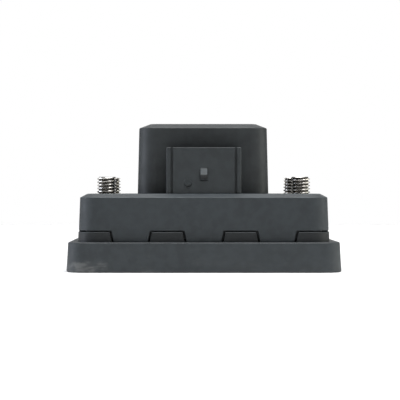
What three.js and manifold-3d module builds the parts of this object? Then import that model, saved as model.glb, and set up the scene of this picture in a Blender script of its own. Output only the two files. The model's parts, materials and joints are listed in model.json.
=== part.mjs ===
// Battery monitor shunt: a moulded base and housing around a low-resistance shunt, with four
// terminal studs, an electronics cover and an upright cable port.
// Millimetres, +Z up. The origin is the centre of the underside, and the port is at the front, -Y.

import * as THREE from "three";
import { mergeVertices } from "three/addons/utils/BufferGeometryUtils.js";
import Module from "manifold-3d";

const wasm = await Module();
wasm.setup();

// ---------------------------------------------------------------- driving dimensions

const GAP = 0.3; // clearance between neighbouring pieces
const FAR = 80; // beyond every side of the part, for cutting prisms
const OVER = 1; // how far a joining or cutting solid reaches past the face it meets

// Sides of the round pieces and holes.
const SIDES = { large: 24, stud: 16, hole: 16, screw: 12, pin: 4 };

const BASE = {
  halfX: 66.65, // at the underside
  halfY: 45.1,
  corner: 10,
  draft: 0.055, // inward slope of the side, per millimetre of height
  foot: 0.4, // chamfer round the underside
  fillet: 1.1, // round at the ledge
  height: 14.5, // top of the ledge
  floor: 3,
  shelf: 7.5, // where the seal rests
  shelfWidth: 2,
};

const SEAL_WIDTH = 1.4; // of the ring between base and housing

const WALL = {
  halfX: 60.4, // at the lower edge of the deck's chamfer
  halfY: 38.4,
  corner: 9,
  draft: 0.0385,
  thickness: 2.4, // of the castellated rim
  skirt: 1.6, // thickness of the housing's inner lap
  skirtBottom: 10,
  skirtTop: 23.55,
  relief: 1.1, // the wall is thinner than the lap by this much above the seam
  reliefBottom: 22.05,
};

const DECK = { top: 37.85, edge: 36, chamfer: 3.6, thickness: 3 };
const DECK_WINDOW = { halfX: 21.5, halfY: 12.5, corner: 3 }; // under the electronics cover

// Castellated seam: each tab's edges lean in as they rise.
const TAB = {
  innerEdge: 8.85, // from the middle to the first edge, at the ledge
  outerEdge: 26.65,
  cornerEdge: 44,
  lean: 0.2,
  top: 19.3,
  sideGap: 0.9,
  topGap: 0.8,
};

const COVER = {
  halfX: 32.9, // at its foot
  halfY: 19,
  centreY: 1,
  corner: 10,
  draft: 0.0244,
  edge: 70.65, // lower edge of the top chamfer
  top: 72.75,
  chamfer: 5.5,
  wall: 2.2,
  ceiling: 2.6,
  vaultHeight: 2, // the inside narrows over this height, below the ceiling
  vaultInset: 5,
};

const GASKET = { width: 1.2, depth: 1.2, fromEdge: 0.5 };

const PORT = {
  halfX: 18.25,
  front: -33.4,
  back: -18.9,
  top: 60.4,
  floor: 42,
  wall: 2.2,
  corner: 0.8,
  mouthCorner: 0.6,
  mouthChamfer: 0.4,
  grooveX: 15.6,
  grooveWidth: 1.2,
  grooveDepth: 1.2,
  stubHalfX: 13,
  stubHalfY: 5,
};

const PORT_RIBS = { left: [-9, 4], width: 1.6, depth: 1.2, top: 58 }; // coding ribs for the plug
const LATCH = { halfX: 1.7, reach: 2, top: 50.3, rampEnd: 46.7, bottom: 44.9 };
const MARK = { x: -7.6, z: 43.5, radius: 1.9, height: 0.25, sides: 20 };

const PIN = { halfDiagonal: 0.85, top: 52, tip: 1.2, pitch: 5.08, rowOffset: 2.3, perRow: 4 };

// 3/8-16 terminal studs, pressed up through the copper blocks.
const STUD = {
  x: 47.6,
  y: 25.4,
  radius: 4.76,
  root: 3.9,
  pitch: 1.5875,
  top: 46.1,
  endRadius: 4.3, // of the flat end, inside its chamfer
  firstCrest: 0.6, // below the end
  threadBottom: 34.8,
  headAcross: 14.3,
  headHeight: 5,
};

const BLOCK = {
  padInner: 40.2,
  padOuter: 55,
  padHalfY: 32.5,
  corner: 2,
  bottom: 21.4,
  footInner: 24,
  footHalfY: 19,
  footHeight: 5,
  boreRadius: 5.1,
};

const BLADE = {
  thickness: 1.2,
  halfX: 28.7,
  bottom: 15.9,
  top: 26.1,
  slotEnd: 29,
  notchDepth: 3,
  notchWidth: 1.2,
  notchStagger: 4, // from blade to blade, in X
  rows: [-15, -7.5, 0, 7.5, 15],
};

const BOARD = {
  bottom: 29.9,
  thickness: 1.6,
  halfX: 36.5,
  halfY: 21.5,
  tongueHalfX: 15,
  tongueFront: -33.5,
  tongueBack: 32,
};

const MOUNT = { x: 30, y: 28.5, bore: 3.3, sleeve: 4.6, sleeveBottom: 0.2, tube: 6 };

// Screws that close the base, from below.
const CLOSING = {
  x: 19.5,
  y: 30.5,
  pillar: 3.5,
  boss: 4.3,
  bossTop: 7,
  counterbore: 3.4,
  seat: 4,
  tip: 19.5,
  holeTop: 21,
};

const COVER_SCREW = { x: 27, offsetY: 12, boss: 3.2, bossTop: 52, tip: 47, holeTop: 49 };
const BOARD_SCREW = { x: 30, y: 18, boss: 3, tip: 35.5, holeTop: 36.2 };
const SENSE = { x: 34, post: 2.5, floor: 1, tip: 23.4 };
const SCREW = {
  shank: 1.5,
  point: 1, // length of the tapered tip
  hole: 1.85,
  head: 2.7,
  headHeight: 1.9,
  rimHeight: 1.14, // straight part of the head's side
  headChamfer: 0.6,
};

const CAPACITOR = { radius: 4, height: 13 };
const THERMISTOR = { x0: -37, x1: -31, y0: 8, y1: 11, top: 29 };

// ---------------------------------------------------------------- materials

const material = (color, roughness, metalness = 0) =>
  new THREE.MeshStandardMaterial({ color, roughness, metalness });

const PLASTIC = material(0x2f3335, 0.5);
const PORT_PLASTIC = material(0x2c3032, 0.55);
const RUBBER = material(0x151617, 0.8);
const STEEL = material(0xc9c4bb, 0.25, 1);
const TINNED_COPPER = material(0xc6c8c8, 0.35, 1);
const MANGANIN = material(0xa98263, 0.4, 1);
const BRASS = material(0xc2a256, 0.35, 1);
const LAMINATE = material(0x1d5a35, 0.5);
const CHIP = material(0x18191a, 0.5);
const CAN = material(0xb9bcc0, 0.3, 1);

// ---------------------------------------------------------------- geometry helpers

const ARC_STEPS = 4; // half the number of chords in each rounded corner
const TOUCHING = 1e-4; // points closer than this are one point

function roundedRectangle(halfX, halfY, radius) {
  const x = halfX - radius;
  const y = halfY - radius;
  const shape = new THREE.Shape();
  shape.absarc(x, y, radius, 0, Math.PI / 2);
  shape.absarc(-x, y, radius, Math.PI / 2, Math.PI);
  shape.absarc(-x, -y, radius, Math.PI, Math.PI * 1.5);
  shape.absarc(x, -y, radius, Math.PI * 1.5, Math.PI * 2);
  return shape;
}

// Joins rounded rectangles, given from the lowest up as [halfX, halfY, corner, z], into one body.
function loft(layers, centreY = 0) {
  const rings = layers.map(([halfX, halfY, corner]) => {
    const points = roundedRectangle(halfX, halfY, corner).getPoints(ARC_STEPS);
    return points[0].distanceTo(points.at(-1)) < TOUCHING ? points.slice(0, -1) : points;
  });
  const count = rings[0].length;
  const positions = rings.flatMap((ring, level) =>
    ring.flatMap((p) => [p.x, p.y + centreY, layers[level][3]]),
  );
  const index = [];
  for (let level = 0; level + 1 < rings.length; level += 1) {
    for (let i = 0; i < count; i += 1) {
      const a = level * count + i;
      const b = level * count + ((i + 1) % count);
      index.push(a, b, b + count, a, b + count, a + count);
    }
  }
  const top = (rings.length - 1) * count;
  for (const [a, b, c] of THREE.ShapeUtils.triangulateShape(rings[0], [])) {
    index.push(a, c, b);
  }
  for (const [a, b, c] of THREE.ShapeUtils.triangulateShape(rings.at(-1), [])) {
    index.push(top + a, top + b, top + c);
  }
  const geometry = new THREE.BufferGeometry();
  geometry.setAttribute("position", new THREE.Float32BufferAttribute(positions, 3));
  geometry.setIndex(index);
  return solid(geometry);
}

// A closed three.js geometry as a manifold-3d solid.
function solid(geometry) {
  const bare = geometry.clone();
  bare.deleteAttribute("normal");
  bare.deleteAttribute("uv");
  const merged = mergeVertices(bare, TOUCHING);
  return new wasm.Manifold(
    new wasm.Mesh({
      numProp: 3,
      vertProperties: merged.attributes.position.array,
      triVerts: new Uint32Array(merged.index.array),
    }),
  );
}

function box(x0, x1, y0, y1, z0, z1) {
  const geometry = new THREE.BoxGeometry(x1 - x0, y1 - y0, z1 - z0);
  return solid(geometry.translate((x0 + x1) / 2, (y0 + y1) / 2, (z0 + z1) / 2));
}

function cylinder(x, y, radius, z0, z1, sides = SIDES.large) {
  const geometry = new THREE.CylinderGeometry(radius, radius, z1 - z0, sides);
  return solid(geometry.rotateX(Math.PI / 2).translate(x, y, (z0 + z1) / 2));
}

// An outline in X and Z, pushed through the part along Y.
function prismAlongY(outline, y0, y1) {
  const shape = new THREE.Shape(outline.map(([x, z]) => new THREE.Vector2(x, z)));
  const geometry = new THREE.ExtrudeGeometry(shape, { depth: y1 - y0, bevelEnabled: false });
  return solid(geometry.rotateX(Math.PI / 2).translate(0, y1, 0));
}

// An outline in Y and Z, pushed through the part along X.
function prismAlongX(outline, x0, x1) {
  const shape = new THREE.Shape(outline.map(([y, z]) => new THREE.Vector2(y, z)));
  const geometry = new THREE.ExtrudeGeometry(shape, { depth: x1 - x0, bevelEnabled: false });
  geometry.rotateX(Math.PI / 2).rotateZ(Math.PI / 2);
  return solid(geometry.translate(x0, 0, 0));
}

function revolve(profile, x, y, sides = SIDES.large) {
  const points = profile.map(([r, z]) => new THREE.Vector2(r, z));
  return solid(new THREE.LatheGeometry(points, sides).rotateX(Math.PI / 2).translate(x, y, 0));
}

const join = (solids) => solids.reduce((a, b) => a.add(b));
const cut = (body, tools) => tools.reduce((a, b) => a.subtract(b), body);

const root = new THREE.Group();

function piece(name, body, look) {
  const made = body.getMesh();
  const geometry = new THREE.BufferGeometry();
  geometry.setAttribute("position", new THREE.BufferAttribute(made.vertProperties, 3));
  geometry.setIndex(new THREE.BufferAttribute(made.triVerts, 1));
  geometry.computeVertexNormals();
  const mesh = new THREE.Mesh(geometry, look);
  mesh.name = name;
  root.add(mesh);
}

const PORT_Y = (PORT.front + PORT.back) / 2;

// The nearer and farther distances from the middle, on one side of it, as [lowest, highest].
const span = (side, near, far) => (side < 0 ? [-far, -near] : [near, far]);

const corners = (x, y) => [
  ["front_left", -x, -y],
  ["front_right", x, -y],
  ["rear_left", -x, y],
  ["rear_right", x, y],
];

// ---------------------------------------------------------------- the wall and its castellated seam

const wallHalfX = (z) => WALL.halfX + WALL.draft * (DECK.edge - z);
const wallHalfY = (z) => WALL.halfY + WALL.draft * (DECK.edge - z);
const wallLayer = (z) => [wallHalfX(z), wallHalfY(z), WALL.corner, z];

const RIM_INNER = [
  wallHalfX(TAB.top) - WALL.thickness,
  wallHalfY(TAB.top) - WALL.thickness,
  WALL.corner - WALL.thickness,
];
const inset = ([halfX, halfY, corner], by) => [halfX - by, halfY - by, corner - by];
const column = (size, z0, z1, centreY = 0) => loft([[...size, z0], [...size, z1]], centreY);

const SKIRT_OUTER = inset(RIM_INNER, GAP);
const SKIRT_INNER = inset(SKIRT_OUTER, WALL.skirt);

// Prisms that stand where the base's tabs are; grown sideways and up, they cut the housing's notches.
function tabPrisms(grow, top) {
  const bottom = BASE.height - 2 * OVER;
  const shift = (z) => TAB.lean * (z - BASE.height);
  const inner = (z) => TAB.innerEdge + shift(z) - grow;
  const outer = (z) => TAB.outerEdge - shift(z) + grow;
  const between = [
    [inner(bottom), bottom],
    [outer(bottom), bottom],
    [outer(top), top],
    [inner(top), top],
  ];
  const beyond = (edge) => [
    [edge + shift(bottom) - grow, bottom],
    [FAR, bottom],
    [FAR, top],
    [edge + shift(top) - grow, top],
  ];
  const middle = (z) => TAB.innerEdge - shift(z) + grow;
  const centred = [
    [-middle(bottom), bottom],
    [middle(bottom), bottom],
    [middle(top), top],
    [-middle(top), top],
  ];
  const mirrored = (outline) => outline.map(([a, z]) => [-a, z]).reverse();
  const prisms = [prismAlongX(centred, -FAR, FAR)];
  for (const outline of [between, mirrored(between)]) {
    prisms.push(prismAlongY(outline, -FAR, FAR));
  }
  const alongY = beyond(TAB.cornerEdge);
  const alongX = beyond(TAB.outerEdge);
  for (const x of [alongY, mirrored(alongY)]) {
    for (const y of [alongX, mirrored(alongX)]) {
      prisms.push(prismAlongY(x, -FAR, FAR).intersect(prismAlongX(y, -FAR, FAR)));
    }
  }
  return join(prisms);
}

// ---------------------------------------------------------------- base

function baseOuter() {
  const size = (z) => [BASE.halfX - BASE.draft * z, BASE.halfY - BASE.draft * z, BASE.corner];
  const filletStart = BASE.height - BASE.fillet;
  const layers = [
    [...inset(size(0), BASE.foot), 0],
    [...size(BASE.foot), BASE.foot],
    [...size(filletStart), filletStart],
  ];
  for (const turn of [Math.PI / 6, Math.PI / 3, Math.PI / 2]) {
    const step = inset(size(filletStart), BASE.fillet * (1 - Math.cos(turn)));
    layers.push([...step, filletStart + BASE.fillet * Math.sin(turn)]);
  }
  return loft(layers);
}

function buildBase() {
  const rim = loft([wallLayer(BASE.height - OVER), wallLayer(TAB.top)]);
  const tabs = rim.intersect(tabPrisms(-TAB.sideGap / 2, TAB.top + OVER));
  const shelfInner = inset(RIM_INNER, BASE.shelfWidth);
  const bosses = corners(CLOSING.x, CLOSING.y).map(([, x, y]) =>
    cylinder(x, y, CLOSING.boss, BASE.floor - OVER, CLOSING.bossTop),
  );
  const body = cut(baseOuter().add(tabs), [
    column(RIM_INNER, BASE.shelf, TAB.top + OVER),
    column(shelfInner, BASE.floor, BASE.shelf + OVER),
  ]).add(join(bosses).intersect(column(shelfInner, 0, BASE.shelf)));
  const tools = [];
  for (const [, x, y] of corners(CLOSING.x, CLOSING.y)) {
    tools.push(cylinder(x, y, CLOSING.counterbore, -OVER, CLOSING.seat));
    tools.push(cylinder(x, y, SCREW.hole, 0, CLOSING.bossTop + OVER));
  }
  for (const [, x, y] of corners(MOUNT.x, MOUNT.y)) {
    tools.push(cylinder(x, y, MOUNT.sleeve + GAP, -OVER, BASE.floor + OVER));
  }
  piece("base", cut(body, tools), PLASTIC);

  const sealOuter = inset(RIM_INNER, GAP);
  const seal = column(sealOuter, BASE.shelf + GAP, WALL.skirtBottom - GAP);
  const sealHole = column(inset(sealOuter, SEAL_WIDTH), BASE.shelf, WALL.skirtBottom);
  piece("base_seal", seal.subtract(sealHole), RUBBER);
}

// ---------------------------------------------------------------- housing

function buildHousing() {
  const underDeck = DECK.top - DECK.thickness;
  const wallBottom = BASE.height + GAP;
  const shell = loft([
    wallLayer(wallBottom),
    wallLayer(DECK.edge),
    [WALL.halfX - DECK.chamfer, WALL.halfY - DECK.chamfer, WALL.corner - DECK.chamfer, DECK.top],
  ]);
  const notched = shell.subtract(tabPrisms(TAB.sideGap / 2, TAB.top + TAB.topGap));
  const skirt = column(SKIRT_OUTER, WALL.skirtBottom, WALL.skirtTop);
  const hollow = join([
    column(SKIRT_INNER, WALL.skirtBottom - OVER, underDeck),
    column(inset(SKIRT_INNER, -WALL.relief), WALL.reliefBottom, underDeck),
  ]);
  const inside = [];
  const holes = [];
  for (const [, x, y] of corners(MOUNT.x, MOUNT.y)) {
    inside.push(cylinder(x, y, MOUNT.tube, BASE.floor + GAP, underDeck + OVER));
    holes.push(cylinder(x, y, MOUNT.sleeve + GAP, 0, DECK.top + OVER));
  }
  for (const [, x, y] of corners(CLOSING.x, CLOSING.y)) {
    inside.push(cylinder(x, y, CLOSING.pillar, CLOSING.bossTop + GAP, underDeck + OVER));
    holes.push(cylinder(x, y, SCREW.hole, 0, CLOSING.holeTop, SIDES.hole));
  }
  const boardTop = BOARD.bottom + BOARD.thickness;
  for (const [, x, y] of corners(BOARD_SCREW.x, BOARD_SCREW.y)) {
    inside.push(cylinder(x, y, BOARD_SCREW.boss, boardTop + GAP, underDeck + OVER));
    holes.push(cylinder(x, y, SCREW.hole, 0, BOARD_SCREW.holeTop, SIDES.hole));
  }
  for (const [, x, y] of corners(COVER_SCREW.x, COVER_SCREW.offsetY)) {
    holes.push(cylinder(x, y + COVER.centreY, SCREW.hole, 0, DECK.top + OVER, SIDES.hole));
  }
  const through = [underDeck - OVER, DECK.top + OVER];
  for (const side of [-1, 1]) {
    const [x0, x1] = span(side, BLOCK.padInner - GAP, BLOCK.padOuter + GAP);
    const halfY = BLOCK.padHalfY + GAP;
    holes.push(box(x0, x1, -halfY, halfY, ...through));
  }
  const stubX = PORT.stubHalfX + GAP;
  const stubY = PORT.stubHalfY + GAP;
  holes.push(box(-stubX, stubX, PORT_Y - stubY, PORT_Y + stubY, ...through));
  const windowSize = [DECK_WINDOW.halfX, DECK_WINDOW.halfY, DECK_WINDOW.corner];
  holes.push(column(windowSize, ...through, COVER.centreY));
  holes.push(gasketRing(-GAP, DECK.top - GASKET.depth, DECK.top + OVER));
  const body = cut(notched.add(skirt).subtract(hollow).add(join(inside)), holes);
  piece("housing", body, PLASTIC);
}

// ---------------------------------------------------------------- electronics cover

// The ring that the cover's foot presses on; shrink is taken off both of its sides.
function gasketRing(shrink, z0, z1) {
  const outer = inset([COVER.halfX, COVER.halfY, COVER.corner], GASKET.fromEdge);
  const inner = inset(outer, GASKET.width);
  return column(inset(outer, shrink), z0, z1, COVER.centreY).subtract(
    column(inset(inner, -shrink), z0 - OVER, z1 + OVER, COVER.centreY),
  );
}

function buildCover() {
  const foot = DECK.top + GAP;
  const size = (z, by = 0) => {
    const lean = COVER.draft * (z - foot);
    return inset([COVER.halfX - lean, COVER.halfY - lean, COVER.corner], by);
  };
  const outer = loft(
    [
      [...size(foot), foot],
      [...size(COVER.edge), COVER.edge],
      [...size(COVER.edge, COVER.chamfer), COVER.top],
    ],
    COVER.centreY,
  );
  const ceiling = COVER.top - COVER.ceiling;
  const spring = ceiling - COVER.vaultHeight;
  const inner = loft(
    [
      [...size(foot, COVER.wall), foot - OVER],
      [...size(spring, COVER.wall), spring],
      [...size(ceiling, COVER.wall + COVER.vaultInset), ceiling],
    ],
    COVER.centreY,
  );
  const posts = [];
  const pilots = [];
  for (const [, x, y] of corners(COVER_SCREW.x, COVER_SCREW.offsetY)) {
    const postY = y + COVER.centreY;
    posts.push(cylinder(x, postY, COVER_SCREW.boss, foot, COVER_SCREW.bossTop));
    pilots.push(cylinder(x, postY, SCREW.hole, foot - OVER, COVER_SCREW.holeTop, SIDES.hole));
  }
  const body = outer.subtract(inner).add(join(posts).intersect(outer));
  piece("electronics_cover", cut(body, pilots), PLASTIC);
  piece("cover_gasket", gasketRing(0, DECK.top - GASKET.depth + GAP, DECK.top), RUBBER);
}

// ---------------------------------------------------------------- cable port

const PIN_PLACES = [-PIN.rowOffset, PIN.rowOffset].flatMap((row) =>
  Array.from({ length: PIN.perRow }, (_, i) => [
    (i - (PIN.perRow - 1) / 2) * PIN.pitch,
    PORT_Y + row,
  ]),
);

function buildPort() {
  const foot = DECK.top + GAP;
  const halfY = (PORT.back - PORT.front) / 2;
  const edge = PORT.mouthChamfer;
  const outer = loft(
    [
      [PORT.halfX, halfY, PORT.corner, foot],
      [PORT.halfX, halfY, PORT.corner, PORT.top - edge],
      [PORT.halfX - edge, halfY - edge, PORT.corner - edge, PORT.top],
    ],
    PORT_Y,
  );
  const stubBottom = BOARD.bottom + BOARD.thickness + GAP;
  const stub = box(
    -PORT.stubHalfX,
    PORT.stubHalfX,
    PORT_Y - PORT.stubHalfY,
    PORT_Y + PORT.stubHalfY,
    stubBottom,
    foot + OVER,
  );
  const latch = prismAlongX(
    [
      [PORT.front + OVER / 2, LATCH.bottom],
      [PORT.front + OVER / 2, LATCH.top],
      [PORT.front, LATCH.top],
      [PORT.front - LATCH.reach, LATCH.rampEnd],
      [PORT.front - LATCH.reach, LATCH.bottom],
    ].reverse(),
    -LATCH.halfX,
    LATCH.halfX,
  );
  const markDisc = new THREE.CylinderGeometry(MARK.radius, MARK.radius, OVER, MARK.sides);
  markDisc.translate(MARK.x, PORT.front - MARK.height + OVER / 2, MARK.z);
  const cavity = column(
    [PORT.halfX - PORT.wall, halfY - PORT.wall, PORT.mouthCorner],
    PORT.floor,
    PORT.top + OVER,
    PORT_Y,
  );
  const grooves = [-PORT.grooveX, PORT.grooveX].map((x) =>
    box(
      x - PORT.grooveWidth / 2,
      x + PORT.grooveWidth / 2,
      PORT.front - OVER,
      PORT.front + PORT.grooveDepth,
      foot - OVER,
      PORT.top + OVER,
    ),
  );
  const ribY = PORT.back - PORT.wall;
  const ribs = PORT_RIBS.left.map((x) =>
    box(
      x,
      x + PORT_RIBS.width,
      ribY - PORT_RIBS.depth,
      ribY + OVER,
      PORT.floor - OVER,
      PORT_RIBS.top,
    ),
  );
  const pinHoles = PIN_PLACES.map(([x, y]) => {
    const half = PIN.halfDiagonal * Math.SQRT1_2 + GAP;
    return box(x - half, x + half, y - half, y + half, stubBottom - OVER, PORT.floor + OVER);
  });
  const shell = join([outer, stub, latch, solid(markDisc)]).subtract(cavity).add(join(ribs));
  piece("port_shroud", cut(shell, [...grooves, ...pinHoles]), PORT_PLASTIC);

  PIN_PLACES.forEach(([x, y], i) => {
    const profile = [
      [0, stubBottom],
      [PIN.halfDiagonal, stubBottom],
      [PIN.halfDiagonal, PIN.top - PIN.tip],
      [PIN.halfDiagonal / 2, PIN.top],
      [0, PIN.top],
    ];
    const pin = revolve(profile, 0, 0, SIDES.pin).rotate([0, 0, 45]);
    piece("port_pin_" + (i + 1), pin.translate([x, y, 0]), BRASS);
  });
}

// ---------------------------------------------------------------- shunt: blocks, blades and studs

function buildStuds() {
  const headTop = BLOCK.bottom - GAP;
  const headBottom = headTop - STUD.headHeight;
  for (const [place, x, y] of corners(STUD.x, STUD.y)) {
    const profile = [
      [0, STUD.top],
      [STUD.endRadius, STUD.top],
    ];
    for (let z = STUD.top - STUD.firstCrest; z > STUD.threadBottom; z -= STUD.pitch) {
      profile.push([STUD.radius, z], [STUD.root, z - STUD.pitch / 2]);
    }
    profile.push([STUD.radius, profile.at(-1)[1] - STUD.pitch / 2]);
    profile.push([STUD.radius, headTop - OVER], [0, headTop - OVER]);
    profile.reverse();
    const head = cylinder(x, y, STUD.headAcross / Math.sqrt(3), headBottom, headTop, 6);
    piece("stud_" + place, head.add(revolve(profile, x, y, SIDES.stud)), STEEL);
  }
}

function buildShunt() {
  for (const [name, side] of [["left", -1], ["right", 1]]) {
    const pad = column(
      [(BLOCK.padOuter - BLOCK.padInner) / 2, BLOCK.padHalfY, BLOCK.corner],
      BLOCK.bottom,
      DECK.top,
    ).translate([(side * (BLOCK.padInner + BLOCK.padOuter)) / 2, 0, 0]);
    const [x0, x1] = span(side, BLOCK.footInner, BLOCK.padInner + OVER);
    const footTop = BLOCK.bottom + BLOCK.footHeight;
    const foot = box(x0, x1, -BLOCK.footHalfY, BLOCK.footHalfY, BLOCK.bottom, footTop);
    const tools = [-STUD.y, STUD.y].map((y) =>
      cylinder(side * STUD.x, y, BLOCK.boreRadius, BLOCK.bottom - OVER, DECK.top + OVER),
    );
    const slotHalf = BLADE.thickness / 2 + GAP;
    const [s0, s1] = span(side, BLOCK.footInner - OVER, BLADE.slotEnd);
    for (const y of BLADE.rows) {
      tools.push(box(s0, s1, y - slotHalf, y + slotHalf, BLOCK.bottom - OVER, footTop + OVER));
    }
    const senseBottom = BLOCK.bottom + SENSE.floor;
    tools.push(
      cylinder(side * SENSE.x, 0, SCREW.hole, senseBottom, footTop + OVER, SIDES.hole),
    );
    piece("terminal_block_" + name, cut(pad.add(foot), tools), TINNED_COPPER);
  }

  BLADE.rows.forEach((y, i) => {
    const half = BLADE.notchWidth / 2;
    const notchX = (i - (BLADE.rows.length - 1) / 2) * BLADE.notchStagger;
    const outline = [
      [-BLADE.halfX, BLADE.bottom],
      [notchX - half, BLADE.bottom],
      [notchX - half, BLADE.bottom + BLADE.notchDepth],
      [notchX + half, BLADE.bottom + BLADE.notchDepth],
      [notchX + half, BLADE.bottom],
      [BLADE.halfX, BLADE.bottom],
      [BLADE.halfX, BLADE.top],
      [-BLADE.halfX, BLADE.top],
    ];
    const blade = prismAlongY(outline, y - BLADE.thickness / 2, y + BLADE.thickness / 2);
    piece("shunt_blade_" + (i + 1), blade, MANGANIN);
  });
}

// ---------------------------------------------------------------- circuit board and what is on it

// Flat parts: name, x, y, width, depth, height, look.
const BOARD_BOXES = [
  ["microcontroller", 4, -16.5, 9, 9, 1.4, CHIP],
  ["sense_amplifier", -9, -16.5, 6, 5, 1.4, CHIP],
  ["clock_crystal", 12.5, -16.5, 3.2, 5, 1.1, CAN],
  ["isolated_converter", -9, 3, 19, 13, 9, CHIP],
  ["power_inductor", 6, 9, 7, 7, 4.2, CHIP],
  ["radio_module", 0, 25.5, 17, 11, 2, CAN],
];

const CAPACITORS = [
  ["capacitor_front", 14, -4],
  ["capacitor_rear", 14.5, 5.5],
];

function buildBoard() {
  const top = BOARD.bottom + BOARD.thickness;
  const slab = box(-BOARD.halfX, BOARD.halfX, -BOARD.halfY, BOARD.halfY, BOARD.bottom, top);
  const tongue = box(
    -BOARD.tongueHalfX,
    BOARD.tongueHalfX,
    BOARD.tongueFront,
    BOARD.tongueBack,
    BOARD.bottom,
    top,
  );
  const holes = corners(BOARD_SCREW.x, BOARD_SCREW.y).map(([, x, y]) =>
    cylinder(x, y, SCREW.hole, BOARD.bottom - OVER, top + OVER, SIDES.hole),
  );
  for (const side of [-1, 1]) {
    holes.push(
      cylinder(side * SENSE.x, 0, SCREW.hole, BOARD.bottom - OVER, top + OVER, SIDES.hole),
    );
  }
  piece("circuit_board", cut(slab.add(tongue), holes), LAMINATE);

  const seat = top + GAP;
  for (const [name, x, y, width, depth, height, look] of BOARD_BOXES) {
    const [halfX, halfY] = [width / 2, depth / 2];
    piece(name, box(x - halfX, x + halfX, y - halfY, y + halfY, seat, seat + height), look);
  }
  for (const [name, x, y] of CAPACITORS) {
    piece(name, cylinder(x, y, CAPACITOR.radius, seat, seat + CAPACITOR.height), CAN);
  }
  const footTop = BLOCK.bottom + BLOCK.footHeight;
  const { x0, x1, y0, y1, top: sensorTop } = THERMISTOR;
  piece("temperature_sensor", box(x0, x1, y0, y1, footTop + GAP, sensorTop), CHIP);

  for (const [name, side] of [["left", -1], ["right", 1]]) {
    const x = side * SENSE.x;
    const post = cylinder(x, 0, SENSE.post, footTop + GAP, BOARD.bottom - GAP);
    const bore = cylinder(x, 0, SCREW.hole, footTop - OVER, BOARD.bottom + OVER, SIDES.hole);
    piece("sense_post_" + name, post.subtract(bore), BRASS);
    piece("sense_screw_" + name, screwDown(x, 0, seat, SENSE.tip), STEEL);
  }
}

// ---------------------------------------------------------------- fasteners

// A pan-head screw whose head stands on seat and whose shank runs down to tip.
function screwDown(x, y, seat, tip) {
  const profile = [
    [0, tip],
    [SCREW.shank - SCREW.point / 2, tip],
    [SCREW.shank, tip + SCREW.point],
    [SCREW.shank, seat],
    [SCREW.head, seat],
    [SCREW.head, seat + SCREW.rimHeight],
    [SCREW.head - SCREW.headChamfer, seat + SCREW.headHeight],
    [0, seat + SCREW.headHeight],
  ];
  return revolve(profile, x, y, SIDES.screw);
}

// The same screw driven upwards, its head hanging below seat.
function screwUp(x, y, seat, tip) {
  const flipped = screwDown(x, -y, -seat, -tip);
  return flipped.rotate([180, 0, 0]);
}

function buildFasteners() {
  for (const [place, x, y] of corners(MOUNT.x, MOUNT.y)) {
    const sleeve = cylinder(x, y, MOUNT.sleeve, MOUNT.sleeveBottom, DECK.top);
    const bore = cylinder(x, y, MOUNT.bore, -OVER, DECK.top + OVER);
    piece("mount_sleeve_" + place, sleeve.subtract(bore), BRASS);
  }
  for (const [place, x, y] of corners(CLOSING.x, CLOSING.y)) {
    piece("housing_screw_" + place, screwUp(x, y, CLOSING.seat - GAP, CLOSING.tip), STEEL);
  }
  for (const [place, x, y] of corners(COVER_SCREW.x, COVER_SCREW.offsetY)) {
    const seat = DECK.top - DECK.thickness - GAP;
    const body = screwUp(x, y + COVER.centreY, seat, COVER_SCREW.tip);
    piece("cover_screw_" + place, body, STEEL);
  }
  for (const [place, x, y] of corners(BOARD_SCREW.x, BOARD_SCREW.y)) {
    const body = screwUp(x, y, BOARD.bottom - GAP, BOARD_SCREW.tip);
    piece("board_screw_" + place, body, STEEL);
  }
}

buildBase();
buildHousing();
buildCover();
buildPort();
buildStuds();
buildShunt();
buildBoard();
buildFasteners();

export default root;
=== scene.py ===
"""Looks for the battery monitor shunt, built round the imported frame.

Sizes in the tables are millimetres, in the frame's own axes: +Z up, the cable port at -Y.
"""

import json
import math

import bmesh
import bpy
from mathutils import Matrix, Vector


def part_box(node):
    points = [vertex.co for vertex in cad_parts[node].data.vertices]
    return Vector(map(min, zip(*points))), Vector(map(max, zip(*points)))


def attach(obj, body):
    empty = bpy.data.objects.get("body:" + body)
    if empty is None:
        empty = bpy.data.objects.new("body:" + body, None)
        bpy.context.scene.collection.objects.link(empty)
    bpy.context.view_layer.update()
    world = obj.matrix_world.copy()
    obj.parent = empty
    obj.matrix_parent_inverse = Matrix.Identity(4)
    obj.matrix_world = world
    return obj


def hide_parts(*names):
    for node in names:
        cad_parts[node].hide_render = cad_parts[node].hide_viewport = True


MM = 0.001
CORNER_STEPS = 14  # chords in each rounded corner
FILLET_STEPS = 5  # chords in each rounded edge of a profile
WELD = 0.003  # points closer than this are one point
BODY = "root"

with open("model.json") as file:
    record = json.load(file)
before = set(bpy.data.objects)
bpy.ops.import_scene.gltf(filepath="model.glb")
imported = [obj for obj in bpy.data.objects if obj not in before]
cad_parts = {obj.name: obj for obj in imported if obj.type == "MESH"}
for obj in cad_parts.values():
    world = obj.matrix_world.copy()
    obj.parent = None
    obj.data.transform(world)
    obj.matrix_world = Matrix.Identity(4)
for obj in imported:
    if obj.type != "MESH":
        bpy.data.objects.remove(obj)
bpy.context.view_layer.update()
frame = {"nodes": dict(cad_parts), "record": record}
nodes = frame["nodes"]

# ---------------------------------------------------------------- dimensions


def box_mm(node):
    """The lowest and highest corners of a node, in millimetres."""
    low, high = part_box(node)
    return low / MM, high / MM


def middle_of(node):
    """The middle of a node in X and Y, in millimetres."""
    low, high = box_mm(node)
    return (low.x + high.x) / 2, (low.y + high.y) / 2


base_high = box_mm("base")[1]
housing_high = box_mm("housing")[1]
cover_low, cover_high = box_mm("electronics_cover")
port_low, port_high = box_mm("port_shroud")

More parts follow.
